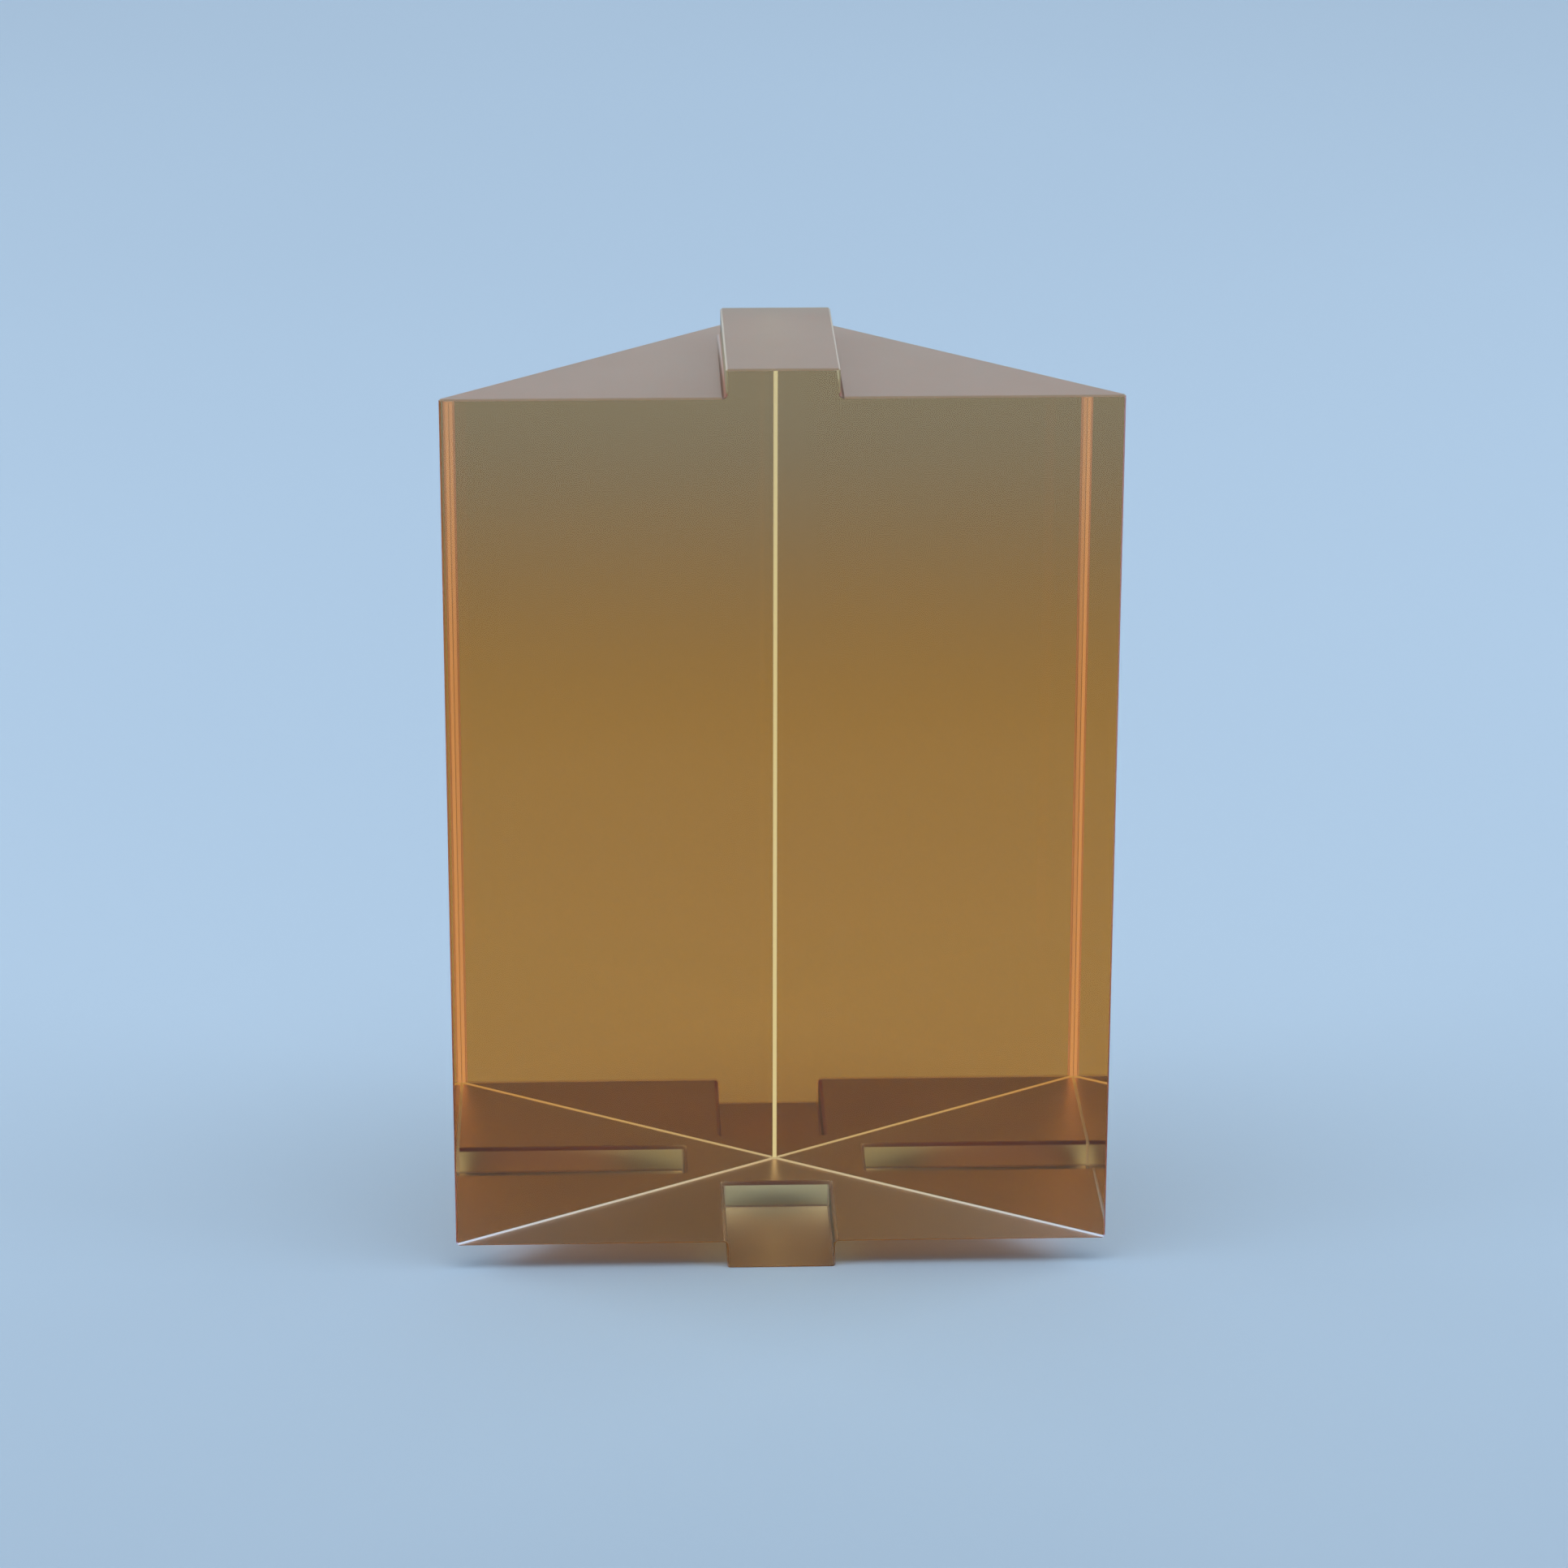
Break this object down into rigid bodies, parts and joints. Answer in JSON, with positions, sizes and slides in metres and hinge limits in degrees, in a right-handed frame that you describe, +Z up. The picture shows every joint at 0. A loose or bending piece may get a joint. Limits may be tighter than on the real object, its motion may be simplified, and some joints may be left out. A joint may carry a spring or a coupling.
{
  "type": "right angle prism",
  "caption": "Right-angle prism of amber-tinted glass, polished on its long faces and fine-ground on its end faces, with a short locating rib on each end, flush with the hypotenuse face.",
  "frame": {"origin": "on the surface that the prism stands on, under the middle of its bounding box", "axes": "+Z up along the prism; +Y from the hypotenuse face back to the right-angle edge; +X across the hypotenuse face, to the right as it is faced"},
  "size_m": [0.059, 0.0296, 0.0842],
  "materials": {
    "amber_glass": "Polished hypotenuse and leg faces; fine-ground frosted end faces, ribs and bevels."
  },
  "bodies": {
    "root": {"prism": "amber_glass"}
  },
  "joints": []
}
